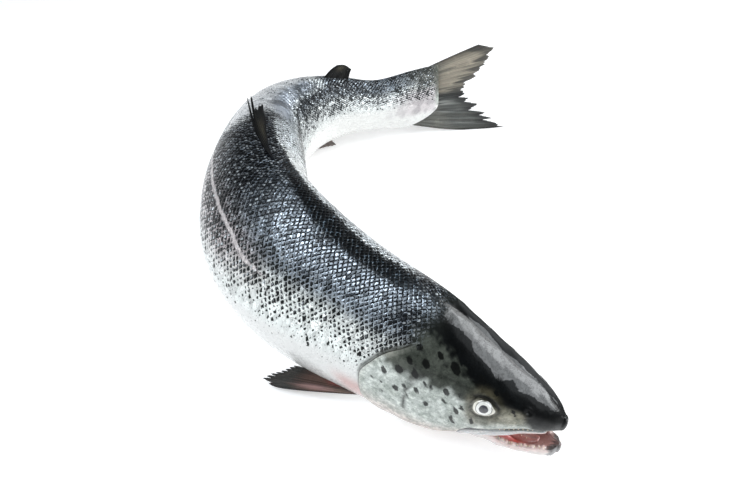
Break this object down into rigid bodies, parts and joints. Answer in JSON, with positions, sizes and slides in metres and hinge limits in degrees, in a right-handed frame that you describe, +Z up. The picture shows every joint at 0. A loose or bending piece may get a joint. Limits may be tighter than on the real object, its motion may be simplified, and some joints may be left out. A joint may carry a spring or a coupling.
{
  "type": "whole atlantic salmon",
  "caption": "Whole raw salmon resting on its belly, body curved into a crescent, mouth a little open, for a fish counter, kitchen or chilled display.",
  "frame": {"origin": "centre of the base of the fish's bounding box, on the table", "axes": "+Z up; +Y from the head's side of the curve to the tail's side, the longest extent; the curve opens towards +X, and the snout points to +X"},
  "size_m": [0.3396, 0.4846, 0.1846],
  "materials": {
    "skin": "wet silver scales, blue-black back, white belly",
    "fin": "wet grey-brown fin skin over bony rays",
    "eye": "clear wet dome over a pale iris and a dark pupil",
    "mouth": "wet pink and red lining",
    "tooth": "small pale teeth"
  },
  "bodies": {
    "root": {"salmon": "skin"}
  },
  "joints": []
}
